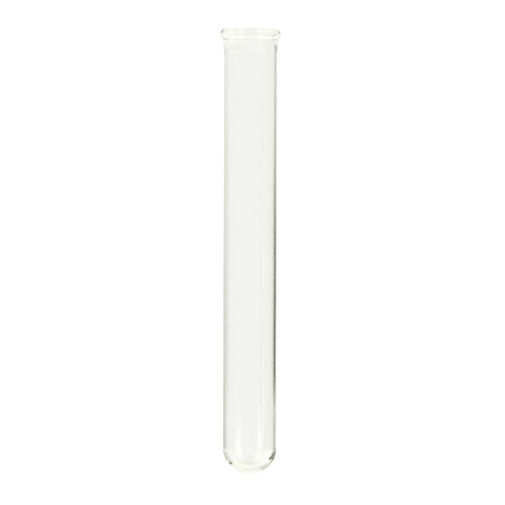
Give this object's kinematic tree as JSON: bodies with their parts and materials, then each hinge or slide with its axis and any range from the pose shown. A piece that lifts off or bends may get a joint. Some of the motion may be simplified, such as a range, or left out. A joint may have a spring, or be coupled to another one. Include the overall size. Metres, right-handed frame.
{
  "type": "test tube",
  "caption": "Plain clear glass test tube with a beaded rim, a straight cylindrical wall and a round bottom, open at the top.",
  "frame": {"origin": "on the tube's axis at the lowest point of the round bottom", "axes": "+Z along the tube's axis, from the closed round bottom towards the open mouth; the tube is round, so X and Y are free"},
  "size_m": [0.0202, 0.0202, 0.15],
  "materials": {
    "clear_glass": "fire-polished and smooth, clear with a very faint yellow-green tinge where the light runs along the wall"
  },
  "bodies": {
    "root": {"glass_tube": "clear_glass"}
  },
  "joints": []
}
